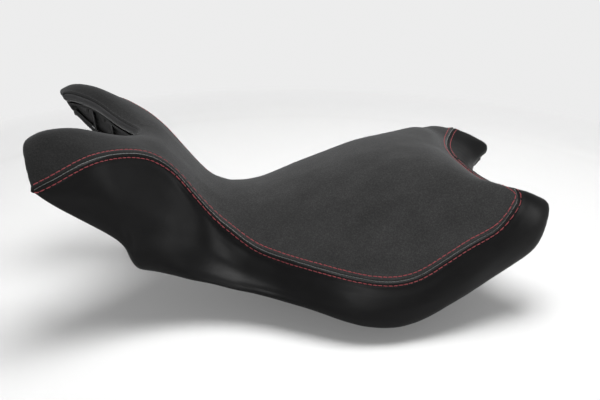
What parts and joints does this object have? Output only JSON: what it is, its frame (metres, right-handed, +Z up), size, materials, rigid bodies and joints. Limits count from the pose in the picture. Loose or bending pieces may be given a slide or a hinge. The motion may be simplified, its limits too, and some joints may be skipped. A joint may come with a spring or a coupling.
{
  "type": "motorcycle seat",
  "caption": "Rider seat for a motorcycle: padded foam on a moulded pan, suede top, smooth vinyl sides with red double stitching, forked front wings and a notched rear",
  "frame": {"origin": "middle of the bounding box in plan, at the height of the bottom of the rubber feet (z = 0)", "axes": "+X towards the rear of the motorcycle, +Y towards the rider's right, +Z up"},
  "size_m": [0.5647, 0.3222, 0.2401],
  "materials": {
    "suede": "matt microfibre suede with a short nap",
    "vinyl": "smooth satin vinyl with a very fine grain",
    "strip_vinyl": "smooth satin vinyl strip",
    "film": "thin translucent film",
    "foam": "moulded polyurethane foam",
    "pan_plastic": "moulded black plastic with a fine texture",
    "grey_thread": "bonded sewing thread",
    "red_thread": "bonded sewing thread, red",
    "dark_thread": "bonded sewing thread, black",
    "staple_steel": "bright stainless wire",
    "zinc_steel": "black coated pressed steel",
    "screw_steel": "zinc plated steel",
    "brass_insert": "knurled brass",
    "rubber": "moulded black rubber"
  },
  "bodies": {
    "root": {"top_panel": "suede", "left_side_panel": "vinyl", "right_side_panel": "vinyl", "gap_strip": "strip_vinyl", "moisture_barrier": "film", "foam_core": "foam", "base_pan": "pan_plastic", "seam_joining_thread": "grey_thread", "upper_stitch_row": "red_thread", "lower_stitch_row": "red_thread", "gap_strip_stitches": "dark_thread", "cover_staples": "staple_steel", "front_tongue": "zinc_steel", "rear_bracket": "zinc_steel", "tongue_screws": "screw_steel", "bracket_screws": "screw_steel", "screw_washers": "screw_steel", "front_inserts": "brass_insert", "rear_inserts": "brass_insert", "front_feet": "rubber", "rear_feet": "rubber", "wing_rest_pads": "rubber"}
  },
  "joints": []
}
